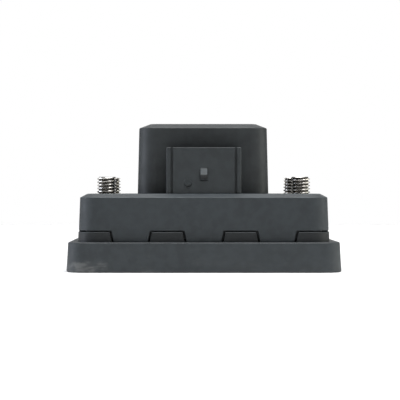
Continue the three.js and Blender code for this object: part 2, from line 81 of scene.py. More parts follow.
LEDGE = 14.5
DECK = housing_high.z
DECK_EDGE = 36  # lower edge of the deck's chamfer
DECK_CHAMFER = 3.6
DECK_THICKNESS = 3
SEAM = 0.3  # between neighbouring pieces
# The rounding of each piece's edges.
EDGES = {"tabs": 0.28, "housing": 0.22, "port": 0.2, "latch": 0.22, "block": 0.2}
HOLE_SIDES = 64
THROUGH = 1  # how far a cutter runs past what it cuts

BASE_ROUNDING = 0.01  # makes up for what the rounded foot takes off the outline
BASE = {
    "half": (base_high.x + BASE_ROUNDING, base_high.y + BASE_ROUNDING),
    "corner": 10,
    "draft": 0.055,
    "floor": 3,
    "foot_fillet": 0.8,
    "ledge_fillet": 0.7,
}
WALL = {"half": (60.4, 38.4), "corner": 9, "draft": 0.0385, "thickness": 2.4}
LAP = {"bottom": 10, "top": 23, "thickness": 1.6}  # the housing's skirt inside the base's tabs
COVER = {
    "half": (cover_high.x, (cover_high.y - cover_low.y) / 2),
    "centre": (0, (cover_high.y + cover_low.y) / 2),
    "corner": 10,
    "draft": 0.0244,
    "edge": 70.65,
    "chamfer": 5.5,
    "wall": 2.2,
    "ceiling": 2.6,
}
TAB = {
    "inner": 8.85,
    "outer": 26.65,
    "corner": 44,
    "lean": 0.2,
    "top": base_high.z,
    "gap": 1.15,
    "top_gap": 0.8,
    "proud": 0.2,  # the tabs stand this far out of the housing's wall
    "root": 1,  # how far they are sunk into the ledge
}
CONTACT = 0.05  # under pieces that rest on each other

PORT_HALF = (18.25, 7.25)
PORT_BACK = port_high.y
PORT_CENTRE = (0, PORT_BACK - PORT_HALF[1])
PORT_FRONT = PORT_BACK - 2 * PORT_HALF[1]
PORT_WALL = 2.2
PORT_FLOOR = 42
PORT_CORNER = 0.8
PORT_RIBS = {"x": (-9, 4), "width": 1.6, "depth": 1.2, "top": 58}
PORT_STUB = (13, 5)  # half sizes of the foot that reaches down through the housing
GROOVE = {"x": 15.6, "width": 1.2, "depth": 1.2}
LATCH = {
    "half": 1.7,
    "reach": 2,
    "top": 50.3,
    "ramp": 46.7,
    "bottom": 44.9,
    "undercut": 1.1,
    "root": 0.6,  # how far it is sunk into the port's wall
}
RELIEF = {"past": 0.2, "below": 0.3, "height": 0.6, "depth": 0.8}  # the slot under the latch
ROUND_SIDES = 40
MARK = {"x": -7.6, "z": 43.5, "radius": 1.9, "height": 0.35, "tilt": 0.25, "moat": 0.6}

STUD = {
    "x": 47.6,
    "y": 25.4,
    "radius": 4.76,
    "root": 3.79,
    "pitch": 1.5875,
    "end": 4.25,
    "across": 14.3,
}
STUD_SIDES = 72
CREST_ROUNDING = 0.08
# One turn of the thread from root to root: (height in pitches, radius).
THREAD = (
    (0.1, STUD["root"]),
    (0.37, STUD["radius"] - CREST_ROUNDING),
    (0.5, STUD["radius"]),
    (0.63, STUD["radius"] - CREST_ROUNDING),
    (0.9, STUD["root"]),
)
STUD_HEAD = 5
THREAD_DEPTH = 2.4  # how far below the deck the thread starts
BLOCK = {"bore": 5.1, "corner": 2, "edge": 0.45, "pad_width": 14.8}
BLADES_AT = (-15, -7.5, 0, 7.5, 15)
SLOT = {"half": 0.9, "length": 5, "height": 6}  # for the blades, in a block's foot
BLOCK_FOOT = {"half": 19, "height": 5}
SENSE = {"x": 34, "bore": 1.85}
SLEEVE = {"radius": 4.6, "bore": 3.3, "sunk": 0.15, "edge": 0.35}
SCREW_WELL = {"radius": 3.4, "top": 2.6}
FRONT_SIDES = ("front_left", "front_right")
CORNERS = ("front_left", "front_right", "rear_left", "rear_right")
THREAD_PHASES = {
    "front_left": 0.33,
    "front_right": 0.77,
    "rear_left": 0.27,
    "rear_right": 0.77,
}  # where each thread starts, in turns

SCREW = {"shank": 1.5, "tip": 0.9, "taper": 1, "socket": 2.5, "socket_depth": 1.1}
SCREW_SIDES = 36
# A screw's head from its seat to its end: (radius, distance from the seat).
SCREW_HEAD = ((2.5, 0), (2.7, 0.2), (2.7, 0.9), (2.5, 1.5), (2.1, 1.9))

DUST_COLOUR = (0.115, 0.12, 0.12)
ROOT_PAINTED_SHADE = (0.17, 0.16, 0.145)  # painted shade at the bottom of the threads
CREST_PAINTED_SHADE = (0.26, 0.245, 0.23)  # lighter painted shade on the crests
LIGHT_PAINTED_MIDDLE = (26, 36)  # where the painted light on the deck's chamfer starts and stops fading, from the middle in X

# Soft lights, in metres and watts: (name, place, (width, height), power, colour).
WHITE = (1, 1, 1)
LIGHTS = (
    ("top", (0, 0, 1.5), (1.2, 1.2), 17, WHITE),
    ("top_front", (0, -0.35, 1.5), (1.3, 0.5), 13, WHITE),
    ("top_rear", (0, 0.75, 1.5), (1.6, 0.9), 4.5, WHITE),
    ("right_key", (0.8, -0.8, 1.2), (0.7, 0.7), 6.5, WHITE),
    ("left", (-1.3, 0, 0.5), (0.7, 0.8), 7.8, (0.91, 0.97, 1.1)),
    ("right", (1.3, 0, 0.5), (0.7, 0.8), 4.8, (1.03, 1.04, 0.94)),
    ("rear", (0, 1.4, 0.7), (1.6, 0.6), 3.5, WHITE),
)
LIGHT_TARGET = (0, 0, 0.03)
WORLD_STRENGTH = 0.05
FLOOR_RADIUS = 0.95
CAMERA = {"place": (-11.35, -721.4, 39.4), "lens": 127.4, "shift": (0.04875, -0.02375)}


# ---------------------------------------------------------------- mesh helpers


def finish_mesh(obj, sharp_degrees=32):
    """Smooth shading with flat faces kept flat, whatever the sizes of the faces round them."""
    obj.data.shade_smooth()
    obj.data.set_sharp_from_angle(angle=math.radians(sharp_degrees))
    weighted = obj.modifiers.new("weighted", "WEIGHTED_NORMAL")
    weighted.keep_sharp = True
    weighted.weight = 80


def new_object(name, bm):
    """An object made from a bmesh, with its faces turned outwards."""
    bmesh.ops.recalc_face_normals(bm, faces=bm.faces)
    mesh = bpy.data.meshes.new(name)
    bm.to_mesh(mesh)
    bm.free()
    obj = bpy.data.objects.new(name, mesh)
    bpy.context.scene.collection.objects.link(obj)
    return obj


def ring(half, corner, z, centre=(0, 0)):
    """Points round a rounded rectangle."""
    radius = max(corner, 0.05)
    points = []
    for quarter, (sx, sy) in enumerate(((1, 1), (-1, 1), (-1, -1), (1, -1))):
        cx = centre[0] + sx * (half[0] - radius)
        cy = centre[1] + sy * (half[1] - radius)
        for step in range(CORNER_STEPS + 1):
            angle = math.pi / 2 * (quarter + step / CORNER_STEPS)
            point = (cx + radius * math.cos(angle), cy + radius * math.sin(angle), z)
            points.append(Vector(point) * MM)
    return points


def bridge(bm, low, high):
    """A band of faces between two loops of vertices."""
    count = len(low)
    for i in range(count):
        j = (i + 1) % count
        bm.faces.new((low[i], low[j], high[j], high[i]))


def skin(name, rings):
    """A closed solid through rings that all have the same number of points."""
    bm = bmesh.new()
    loops = [[bm.verts.new(point) for point in points] for points in rings]
    for low, high in zip(loops, loops[1:]):
        bridge(bm, low, high)
    bm.faces.new(reversed(loops[0]))
    bm.faces.new(loops[-1])
    return new_object(name, bm)


def hoop(name, rings):
    """A closed ring through rings of points, the last joined to the first."""
    bm = bmesh.new()
    loops = [[bm.verts.new(point) for point in points] for points in rings]
    for k, low in enumerate(loops):
        bridge(bm, low, loops[(k + 1) % len(loops)])
    return new_object(name, bm)


def round_off(outline):
    """Rounds an open outline of (inset, z, radius) points into (inset, z) points."""
    points = [Vector(outline[0][:2])]
    for before, (inset, z, radius), after in zip(outline, outline[1:], outline[2:]):
        here = Vector((inset, z))
        to_before = (Vector(before[:2]) - here).normalized()
        to_after = (Vector(after[:2]) - here).normalized()
        if radius == 0:
            points.append(here)
            continue
        half_angle = to_before.angle(to_after) / 2
        reach = radius / math.tan(half_angle)
        start = here + to_before * reach
        end = here + to_after * reach
        bisector = (to_before + to_after).normalized()
        middle = here + bisector * (radius / math.sin(half_angle))
        first = (start - middle).normalized()
        last = (end - middle).normalized()
        for step in range(FILLET_STEPS + 1):
            points.append(middle + radius * first.slerp(last, step / FILLET_STEPS))
    points.append(Vector(outline[-1][:2]))
    return points


def shell(name, half, corner, outline, centre=(0, 0)):
    """A closed solid: outline, of (inset, z, radius) points, swept round a rounded rectangle."""
    rings = []
    for inset, z in round_off(outline):
        size = (half[0] - inset, half[1] - inset)
        rings.append(ring(size, corner - inset, z, centre))
    return skin(name, rings)


def wedge_into(bm, low, high):
    """Adds a block whose lower and upper rectangles are (x0, x1, y0, y1, z)."""
    verts = []
    for x0, x1, y0, y1, z in (low, high):
        for x, y in ((x0, y0), (x1, y0), (x1, y1), (x0, y1)):
            verts.append(bm.verts.new(Vector((x, y, z)) * MM))
    bm.faces.new(verts[3::-1])
    bm.faces.new(verts[4:])
    for i in range(4):
        j = (i + 1) % 4
        bm.faces.new((verts[i], verts[j], verts[j + 4], verts[i + 4]))


def blocks(name, boxes):
    """One mesh of separate boxes, each (x0, x1, y0, y1, z0, z1)."""
    bm = bmesh.new()
    for x0, x1, y0, y1, z0, z1 in boxes:
        wedge_into(bm, (x0, x1, y0, y1, z0), (x0, x1, y0, y1, z1))
    return new_object(name, bm)


def circle(x, y, radius, height, sides):
    """Points round a vertical line. The radius may be a function of the angle."""
    points = []
    for i in range(sides):
        angle = 2 * math.pi * i / sides
        r = radius(angle) if callable(radius) else radius
        place = (x + r * math.cos(angle), y + r * math.sin(angle), height)
        points.append(Vector(place) * MM)
    return points


def polar(name, x, y, rows, sides):
    """A closed solid round a vertical line, through rows of (radius, height)."""
    return skin(name, [circle(x, y, radius, height, sides) for radius, height in rows])


def tube(name, x, y, bore, radius, z0, z1, edge):
    """A turned ring with small chamfers, closed on itself."""
    profile = [
        (bore + edge, z0),
        (radius - edge, z0),
        (radius, z0 + edge),
        (radius, z1 - edge),
        (radius - edge, z1),
        (bore + edge, z1),
        (bore, z1 - edge),
        (bore, z0 + edge),
    ]
    return hoop(name, [circle(x, y, r, z, HOLE_SIDES) for r, z in profile])


def apply_modifiers(obj):
    """Makes what an object's modifiers give its own mesh, and takes them away."""
    graph = bpy.context.evaluated_depsgraph_get()
    mesh = bpy.data.meshes.new_from_object(obj.evaluated_get(graph))
    obj.modifiers.clear()
    obj.data = mesh


def combine(obj, operation, *tools):
    """Cuts obj with each tool, or joins them to it, and takes the tools away."""
    for tool in tools:
        modifier = obj.modifiers.new("combine", "BOOLEAN")
        modifier.operation = operation
        modifier.solver = "EXACT"
        modifier.object = tool
        apply_modifiers(obj)
        bpy.data.objects.remove(tool)


def bevel(obj, width, segments=3, degrees=40):
    """Adds a rounding, width in millimetres, of the edges that turn by more than degrees."""
    modifier = obj.modifiers.new("bevel", "BEVEL")
    modifier.width = width * MM
    modifier.segments = segments
    modifier.limit_method = "ANGLE"
    modifier.angle_limit = math.radians(degrees)
    modifier.miter_outer = "MITER_ARC"


def weld(obj):
    """Closes the hair cracks that a cut can leave where its edges nearly meet."""
    bm = bmesh.new()
    bm.from_mesh(obj.data)
    bmesh.ops.remove_doubles(bm, verts=bm.verts, dist=WELD * MM)
    bmesh.ops.dissolve_degenerate(bm, dist=WELD * MM, edges=bm.edges)
    bm.to_mesh(obj.data)
    bm.free()


def stand_for(obj, node, material):
    """Puts a finished piece in the place of a node."""
    weld(obj)
    finish_mesh(obj)
    obj.data.materials.clear()
    obj.data.materials.append(material)
    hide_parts(node)
    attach(obj, BODY)


def cylinder(name, x, y, radius, z0, z1, sides=48):
    return polar(name, x, y, [(radius, z0), (radius, z1)], sides)


# ---------------------------------------------------------------- materials


class Nodes:
    """A material's node tree, with short calls to add to it."""

    def __init__(self, name):
        self.material = bpy.data.materials.new(name)
        self.material.use_nodes = True
        self.tree = self.material.node_tree
        self.shader = self.tree.nodes["Principled BSDF"]
        self.place = self.add("ShaderNodeTexCoord").outputs["Object"]

    def add(self, kind, **settings):
        node = self.tree.nodes.new(kind)
        for key, value in settings.items():
            setattr(node, key, value)
        return node

    def link(self, source, target):
        self.tree.links.new(source, target)

    def stretched(self, scale):
        """The place, scaled apart in X, Y and Z, for grain that runs one way."""
        mapping = self.add("ShaderNodeMapping")
        mapping.inputs["Scale"].default_value = scale
        self.link(self.place, mapping.inputs["Vector"])
        return mapping.outputs["Vector"]

    def along(self, axis):
        """How far along X, Y or Z the surface lies, in metres."""
        split = self.add("ShaderNodeSeparateXYZ")
        self.link(self.place, split.inputs["Vector"])
        return split.outputs[axis]

    def vector(self, operation, vector, other=None):
        node = self.add("ShaderNodeVectorMath", operation=operation)
        self.link(vector, node.inputs[0])
        if other:
            node.inputs[1].default_value = other
        return node

    def from_stud(self):
        """The distance from the axis of the nearest stud, in metres."""
        quarter = self.vector("ABSOLUTE", self.place).outputs["Vector"]
        centre = (STUD["x"] * MM, STUD["y"] * MM, 0)
        away = self.vector("SUBTRACT", quarter, centre).outputs["Vector"]
        level = self.vector("MULTIPLY", away, (1, 1, 0)).outputs["Vector"]
        return self.vector("LENGTH", level).outputs["Value"]

    def noise(self, scale, detail=3, place=None):
        node = self.add("ShaderNodeTexNoise")
        node.inputs["Scale"].default_value = scale
        node.inputs["Detail"].default_value = detail
        self.link(place or self.place, node.inputs["Vector"])
        return node.outputs["Fac"]

    def remap(self, value, low, high, to_low, to_high):
        node = self.add("ShaderNodeMapRange", interpolation_type="SMOOTHSTEP")
        for key, number in zip(
            ("From Min", "From Max", "To Min", "To Max"), (low, high, to_low, to_high)
        ):
            node.inputs[key].default_value = number
        self.link(value, node.inputs["Value"])
        return node.outputs["Result"]

    def multiply(self, a, b):
        node = self.add("ShaderNodeMath", operation="MULTIPLY")
        self.link(a, node.inputs[0])
        self.link(b, node.inputs[1])
        return node.outputs[0]

    def within(self, value, rise, fall):
        """1 between two ramps, each from and to a place in millimetres, and 0 outside them."""
        up = self.remap(value, rise[0] * MM, rise[1] * MM, 0, 1)
        down = self.remap(value, fall[0] * MM, fall[1] * MM, 1, 0)
        return self.multiply(up, down)

    def scaled(self, value, factor):
        return self.remap(value, 0, 1, 0, factor)

    def mix(self, factor, a, b):
        """Mixes two colours, each a tuple or an output."""
        node = self.add("ShaderNodeMix", data_type="RGBA")
        self.link(factor, node.inputs["Factor"])
        for socket, colour in ((node.inputs[6], a), (node.inputs[7], b)):
            if isinstance(colour, tuple):
                socket.default_value = (*colour, 1)
            else:
                self.link(colour, socket)
        return node.outputs[2]

    def bump(self, height, strength, distance, below=None):
        node = self.add("ShaderNodeBump")
        node.inputs["Strength"].default_value = strength
        node.inputs["Distance"].default_value = distance * MM
        self.link(height, node.inputs["Height"])
        if below:
            self.link(below, node.inputs["Normal"])
        return node.outputs["Normal"]

    def finish(self, colour, roughness, normal):
        self.link(colour, self.shader.inputs["Base Color"])
        self.link(roughness, self.shader.inputs["Roughness"])
        self.link(normal, self.shader.inputs["Normal"])
        return self.material


def tinted(colour, factor):
    return tuple(min(1, c * factor) for c in colour)


class Plastic(Nodes):
    """Moulded plastic: a mottled body, layers of painted shade, painted highlights, dust and specks
    over it, and fine spark grain.
    """

    def __init__(self, name, colour):
        super().__init__(name)
        self.colour = colour
        self.shader.inputs["IOR"].default_value = 1.46
        self.height = self.along("Z")
        shade = self.remap(self.noise(45), 0.35, 0.65, 0, 1)
        self.body = self.mix(shade, tinted(colour, 0.92), tinted(colour, 1.08))
        self.layer(self.remap(self.noise(260, 5), 0.38, 0.62, 0, 0.5), 1.35)

    def layer(self, mask, factor):
        """Where the mask is 1, the body becomes the colour times factor."""
        self.body = self.mix(mask, self.body, tinted(self.colour, factor))

    def shade(self, low, high):
        """Darker between two heights: painted shade."""
        self.layer(self.within(self.height, (low, low + 1.2), (high - 0.2, high)), 0.45)

    def paint_latch_light_and_shade(self, front, low):
        """In front of a place in Y, paler above a height and darker below it: a painted highlight
        on the latch's ramp and painted shade under the latch.
        """
        forward = self.remap(self.along("Y"), (front - 0.3) * MM, front * MM, 1, 0)
        above = self.remap(self.height, low * MM, (low + 0.3) * MM, 0, 0.8)
        self.layer(self.multiply(forward, above), 2.6)
        hook = self.remap(self.along("Y"), (front - 0.7) * MM, (front - 0.4) * MM, 1, 0)
        below = self.remap(self.height, (low - 0.5) * MM, low * MM, 1, 0)
        self.layer(self.multiply(hook, below), 0.35)

    def handle(self, low, high):
        """Paler between two heights, in the middle of the part: painted light."""
        band = self.within(self.height, (low, low + 0.2), (high - 0.2, high))
        start, end = LIGHT_PAINTED_MIDDLE
        middle = self.within(self.along("X"), (-end, -start), (start, end))
        self.layer(self.multiply(band, middle), 1.5)

    def paint_edge_highlight(self, edge):
        """A moulded edge at a height, paler in broken lines: mostly a painted highlight, broken by
        wear.
        """
        line = self.within(self.height, (edge - 0.3, edge - 0.05), (edge + 0.05, edge + 0.3))
        broken = self.remap(self.noise(150, 4), 0.35, 0.65, 0.15, 0.9)
        self.layer(self.multiply(line, broken), 2.3)

    def scuff(self, dust):
        """Dusty patches near the ground, most of them to the left."""
        patches = self.remap(self.noise(55, 5, self.stretched((0.8, 1, 1.4))), 0.42, 0.58, 0, 1)
        near_ground = self.remap(self.height, 2 * MM, 12 * MM, 1, 0.05)
        near_left = self.remap(self.along("X"), -35 * MM, 5 * MM, 1, 0.2)
        grain = self.noise(330, 6, self.stretched((0.5, 0.5, 1.4)))
        streaks = self.remap(grain, 0.35, 0.65, 0.3, 1)
        place = self.multiply(near_ground, near_left)
        scuffs = self.multiply(self.multiply(patches, streaks), place)
        self.body = self.mix(self.scaled(scuffs, dust), self.body, DUST_COLOUR)

    def speckle(self):
        """A few pale specks, each in a cell of its own."""
        speck = self.add("ShaderNodeTexVoronoi", feature="F1")
        speck.inputs["Scale"].default_value = 210
        self.link(self.place, speck.inputs["Vector"])
        dots = self.remap(speck.outputs["Distance"], 0.03, 0.07, 1, 0)
        chance = self.add("ShaderNodeSeparateColor")
        self.link(speck.outputs["Color"], chance.inputs["Color"])
        few = self.remap(chance.outputs["Red"], 0.95, 0.96, 0, 0.35)
        self.layer(self.multiply(dots, few), 4)

    def surface(self, roughness):
        """The finished material, with its gloss and its grain."""
        gloss = self.remap(self.noise(160, 4), 0.3, 0.7, roughness - 0.05, roughness + 0.06)
        peel = self.bump(self.noise(700, 2), 0.12, 0.08)
        grain = self.bump(self.noise(3600, 3), 0.25, 0.035, peel)
        return self.finish(self.body, gloss, grain)


def plastic(name, colour, dust, shaded=None, latch_light_and_shade=None, edges=(), painted_middle_light=None, roughness=0.5):
    """Moulded plastic. Heights and places are in millimetres, and each layer may be left out.

    shaded (painted shade) and handled (painted light) are two heights, edges are heights of painted
    highlights, and rubbed is a place in Y and a height, for a painted highlight on the latch's ramp
    and painted shade under it.
    """
    moulded = Plastic(name, colour)
    if shaded:
        moulded.shade(*shaded)
    if latch_light_and_shade:
        moulded.paint_latch_light_and_shade(*latch_light_and_shade)
    if painted_middle_light:
        moulded.handle(*painted_middle_light)
    for edge in edges:
        moulded.paint_edge_highlight(edge)
    moulded.scuff(dust)
    moulded.speckle()
    return moulded.surface(roughness)


def metal(name, colour, warm, roughness, grain=(1, 1, 1), strength=0.2, painted_thread_shade=False):
    """Bare metal: fine tool marks along one way, and slow changes of tone.

    With painted_thread_shade the studs' thread is darker at its bottom and a little darker at its
    crest: painted shade.
    """
    n = Nodes(name)
    n.shader.inputs["Metallic"].default_value = 1
    tone = n.remap(n.noise(90, 3), 0.45, 0.7, 0, 1)
    body = n.mix(tone, colour, warm)
    # Painted shade: darker towards the roots of the thread, and a little darker on its crests.
    if painted_thread_shade:
        root, crest = STUD["root"] * MM, STUD["radius"] * MM
        depth = n.remap(n.from_stud(), root, root + 0.7 * (crest - root), 1, 0)
        body = n.mix(depth, body, ROOT_PAINTED_SHADE)
        tip = n.remap(n.from_stud(), crest - 0.1 * MM, crest - 0.02 * MM, 0, 0.25)
        body = n.mix(tip, body, CREST_PAINTED_SHADE)
    lines = n.noise(900, 4, n.stretched(grain))
    gloss = n.remap(lines, 0.3, 0.7, roughness - 0.05, roughness + 0.06)
    marks = n.bump(lines, strength, 0.02)
    return n.finish(body, gloss, marks)


def rubber():
    n = Nodes("seal_rubber")
    body = n.mix(n.noise(300), (0.016, 0.016, 0.017), (0.03, 0.03, 0.031))
    gloss = n.remap(n.noise(500), 0.3, 0.7, 0.65, 0.85)
    return n.finish(body, gloss, n.bump(n.noise(2500), 0.3, 0.05))


def laminate():
    """Solder mask over copper: tracks show as slightly lighter, raised bands."""
    n = Nodes("board_laminate")
    brick = n.add("ShaderNodeTexBrick")
    brick.inputs["Scale"].default_value = 260
    brick.inputs["Mortar Size"].default_value = 0.06
    n.link(n.place, brick.inputs["Vector"])
    tracks = n.remap(brick.outputs["Fac"], 0.2, 0.8, 0, 0.8)
    body = n.mix(tracks, (0.008, 0.07, 0.025), (0.02, 0.14, 0.05))
    gloss = n.remap(n.noise(200), 0.3, 0.7, 0.25, 0.4)
    return n.finish(body, gloss, n.bump(tracks, 0.4, 0.05))


housing_plastic = plastic(
    "housing_plastic",
    (0.027, 0.033, 0.037),
    dust=0.5,
    # These heights get painted highlights along the lower edge of the deck's chamfer and along the
    # deck's top edge.
    edges=(DECK_EDGE, DECK - 0.15),
    # The band between these heights is painted light on the middle of the deck's chamfer, where the
    # port and cover shade it.
    painted_middle_light=(DECK_EDGE - 0.1, DECK - 0.1),
)
base_plastic = plastic(
    # The shaded heights put painted shade over the tabs and the ledge's rounded edge.
    "base_plastic", (0.030, 0.036, 0.040), dust=0.9, shaded=(LEDGE - 0.6, TAB["top"] - 0.2)
)
cover_plastic = plastic("cover_plastic", (0.024, 0.028, 0.030), dust=0.35)
port_plastic = plastic(
    # The place and height here paint a highlight on the latch's ramp and shade under the latch.
    "port_plastic", (0.0235, 0.0285, 0.031), dust=0.5, latch_light_and_shade=(PORT_FRONT, LATCH["ramp"] + 0.4)
)
chip_resin = plastic("chip_resin", (0.02, 0.02, 0.021), dust=0.2)
stainless = metal("stainless", (0.76, 0.74, 0.71), (0.62, 0.55, 0.47), 0.2, (1, 1, 6), 0.05)
stud_steel = metal(
    "stud_steel", (0.78, 0.76, 0.73), (0.66, 0.6, 0.52), 0.24, (1, 1, 6), 0.0, painted_thread_shade=True
)
tinned_copper = metal("tinned_copper", (0.62, 0.62, 0.61), (0.54, 0.53, 0.5), 0.34, (3, 0.12, 3))
manganin = metal("manganin", (0.6, 0.44, 0.32), (0.5, 0.35, 0.25), 0.38, (0.1, 1, 3))
brass = metal("brass", (0.76, 0.57, 0.28), (0.6, 0.42, 0.2), 0.26, (1, 1, 4))
component_can = metal("component_can", (0.68, 0.69, 0.7), (0.6, 0.6, 0.6), 0.3)
MATERIALS = {
    "housing_plastic": housing_plastic,
    "port_plastic": port_plastic,
    "chip_resin": chip_resin,
    "stainless": stainless,
    "tinned_copper": tinned_copper,
    "manganin": manganin,
    "brass": brass,
    "component_can": component_can,
    "seal_rubber": rubber(),
    "board_laminate": laminate(),
}


# ---------------------------------------------------------------- base and housing


def wall_inset(z):
    """How far the wall lies inside its size at the deck's edge: less than nothing lower down."""
    return -WALL["draft"] * (DECK_EDGE - z)


def wall_ring(name, section):
    """A closed ring: section, a list of (inset, z), swept round the housing's wall."""
    half, corner = WALL["half"], WALL["corner"]
    rings = [ring((half[0] - inset, half[1] - inset), corner - inset, z) for inset, z in section]
    return hoop(name, rings)


def tab_wedges(name, grow, top):
    """Blocks round the wall where the base's tabs stand, each leaning in as it rises."""
    bm = bmesh.new()
    far = 80
    near = (WALL["half"][0] - 8, WALL["half"][1] - 8)

    def rectangle(z, x_span, y_span):
        return (*x_span(z), *y_span(z), z)

    def shift(z):
        return TAB["lean"] * (z - LEDGE)

    def middle(z):
        half = TAB["inner"] - shift(z) + grow
        return -half, half

    def between(z):
        return TAB["inner"] + shift(z) - grow, TAB["outer"] - shift(z) + grow

    def past(edge):
        return lambda z: (edge + shift(z) - grow, far)

    def mirrored(span):
        return lambda z: tuple(-value for value in reversed(span(z)))

    def outside(axis):
        return lambda z: (near[axis], far)

    spans = [(middle_x, middle) for middle_x in (outside(0), mirrored(outside(0)))]
    for y_span in (outside(1), mirrored(outside(1))):
        spans += [(between, y_span), (mirrored(between), y_span)]
    for x_span in (past(TAB["corner"]), mirrored(past(TAB["corner"]))):
        for y_span in (past(TAB["outer"]), mirrored(past(TAB["outer"]))):
            spans.append((x_span, y_span))
    low = LEDGE - 2
    for x_span, y_span in spans:
        wedge_into(bm, rectangle(low, x_span, y_span), rectangle(top, x_span, y_span))
    return new_object(name, bm)


def build_base():
    size, corner, draft = BASE["half"], BASE["corner"], BASE["draft"]
    cavity = size[0] - (WALL["half"][0] - wall_inset(LEDGE) - WALL["thickness"])
    top_inset = draft * LEDGE
    outline = [
        (cavity, BASE["floor"], 0),
        (cavity, LEDGE, 0.3),
        (top_inset, LEDGE, BASE["ledge_fillet"]),
        (0, 0, BASE["foot_fillet"]),
        (size[1] - 1, 0, 0),
    ]
    base = shell("base_shell", size, corner, outline)

    # The tabs are cut from a ring that follows the housing's wall, then joined on.
    section = [
        (WALL["thickness"], LEDGE - TAB["root"]),
        (WALL["thickness"], TAB["top"]),
        (wall_inset(TAB["top"]) - TAB["proud"], TAB["top"]),
        (wall_inset(LEDGE) - TAB["proud"], LEDGE - TAB["root"]),
    ]
    rim = wall_ring("rim", section)
    combine(rim, "INTERSECT", tab_wedges("tab_cut", -TAB["gap"] / 2, TAB["top"] + THROUGH))
    bevel(rim, EDGES["tabs"])
    apply_modifiers(rim)
    combine(base, "UNION", rim)

    sleeve_hole = (SLEEVE["radius"] + SEAM, BASE["floor"] + THROUGH)
    screw_well = (SCREW_WELL["radius"], SCREW_WELL["top"])
    drills = []
    for kind, (radius, top) in (("mount_sleeve_", sleeve_hole), ("housing_screw_", screw_well)):
        for place in FRONT_SIDES:
            x, y = middle_of(kind + place)
            for side in (-1, 1):
                drills.append(cylinder("drill", x, side * y, radius, -THROUGH, top))
    combine(base, "DIFFERENCE", *drills)
    stand_for(base, "base", base_plastic)


def pad_span(low, high, name):
    """The pad's part of a terminal block in X, measured inwards from its outer edge."""
    width = BLOCK["pad_width"]
    return (low.x, low.x + width) if name == "left" else (high.x - width, high.x)


def build_housing():
    bottom = LEDGE + CONTACT
    inner = WALL["thickness"] + SEAM + LAP["thickness"]
    outline = [
        (inner, DECK - DECK_THICKNESS, 0),
        (inner, bottom, 0),
        (wall_inset(bottom), bottom, 0.2),
        (0, DECK_EDGE, 0.45),
        (DECK_CHAMFER, DECK, 0.9),
        (WALL["half"][1] - 2, DECK, 0),
    ]
    housing = shell("housing_shell", WALL["half"], WALL["corner"], outline)
    notch_top = TAB["top"] + TAB["top_gap"]
    combine(housing, "DIFFERENCE", tab_wedges("notch_cut", TAB["gap"] / 2, notch_top))

    under, over = DECK - DECK_THICKNESS - THROUGH, DECK + THROUGH
    holes = []
    for name in ("left", "right"):
        low, high = box_mm("terminal_block_" + name)
        pad = pad_span(low, high, name)
        centre = (sum(pad) / 2, 0)
        half = ((pad[1] - pad[0]) / 2 + SEAM, high.y + SEAM)
        rings = [ring(half, BLOCK["corner"] + SEAM, z, centre) for z in (under, over)]
        holes.append(skin("pad_hole", rings))
    for place in CORNERS:
        x, y = middle_of("mount_sleeve_" + place)
        holes.append(cylinder("hole", x, y, SLEEVE["radius"] + SEAM, under, over, HOLE_SIDES))
    combine(housing, "DIFFERENCE", *holes)
    bevel(housing, EDGES["housing"])
    apply_modifiers(housing)

    outer = WALL["thickness"] + SEAM
    inner, low, high = outer + LAP["thickness"], LAP["bottom"], LAP["top"]
    section = [(outer, low), (inner, low), (inner, high), (outer, high)]
    combine(housing, "UNION", wall_ring("lap", section))
    stand_for(housing, "housing", housing_plastic)


# ---------------------------------------------------------------- cover and port


def build_cover():
    foot = DECK + CONTACT
    lean = COVER["draft"] * (COVER["edge"] - foot)
    wall = COVER["wall"]
    outline = [
        (lean + wall, cover_high.z - COVER["ceiling"], 0),
        (wall, foot, 0),
        (0, foot, 0.15),
        (lean, COVER["edge"], 0.7),
        (lean + COVER["chamfer"], cover_high.z, 1.0),
        (COVER["half"][1] - 1, cover_high.z, 0),
    ]
    cover = shell("cover_shell", COVER["half"], COVER["corner"], outline, COVER["centre"])
    stand_for(cover, "electronics_cover", cover_plastic)


def build_latch():
    """The ramp that the plug's catch rides over: sloped above, hooked below."""
    front = PORT_FRONT
    outline = [
        (front + LATCH["root"], LATCH["bottom"]),
        (front - LATCH["reach"] + LATCH["undercut"], LATCH["bottom"]),
        (front - LATCH["reach"], LATCH["ramp"]),
        (front, LATCH["top"]),
        (front + LATCH["root"], LATCH["top"]),
    ]
    bm = bmesh.new()
    sides = []
    for x in (-LATCH["half"], LATCH["half"]):
        sides.append([bm.verts.new(Vector((x, y, z)) * MM) for y, z in outline])
    for side in sides:
        bm.faces.new(side)
    for i in range(len(outline)):
        j = (i + 1) % len(outline)
        bm.faces.new((sides[0][i], sides[0][j], sides[1][j], sides[1][i]))
    latch = new_object("latch", bm)
    bevel(latch, EDGES["latch"], degrees=20)
    apply_modifiers(latch)
    return latch


def port_disc(name, rows):
    """A round solid at the ejector mark, through rows of (radius, out, share, drop).

    Out is how far a row stands in front of the port, share is its part of the mark's tilt, and drop
    is how far it lies below the mark.
    """
    rings = []
    for radius, out, share, drop in rows:
        points = []
        for i in range(ROUND_SIDES):
            angle = 2 * math.pi * i / ROUND_SIDES
            right, up = radius * math.cos(angle), radius * math.sin(angle)
            y = PORT_FRONT - out + share * MARK["tilt"] * up / MARK["radius"]
            points.append(Vector((MARK["x"] + right, y, MARK["z"] + (up - drop))) * MM)
        rings.append(points)
    return skin(name, rings)


def build_mark():
    """A low round ejector mark, tilted so that it stands out most at its lower edge."""
    outer, height = MARK["radius"], MARK["height"]
    rows = (
        (outer, -THROUGH, 0, 0),
        (outer, height - 0.08, 1, 0),
        (outer - 0.08, height, 1, 0),
        (outer * 0.6, height, 1, 0),
        (outer * 0.5, height - 0.1, 1, 0),
    )
    return port_disc("mark", rows)


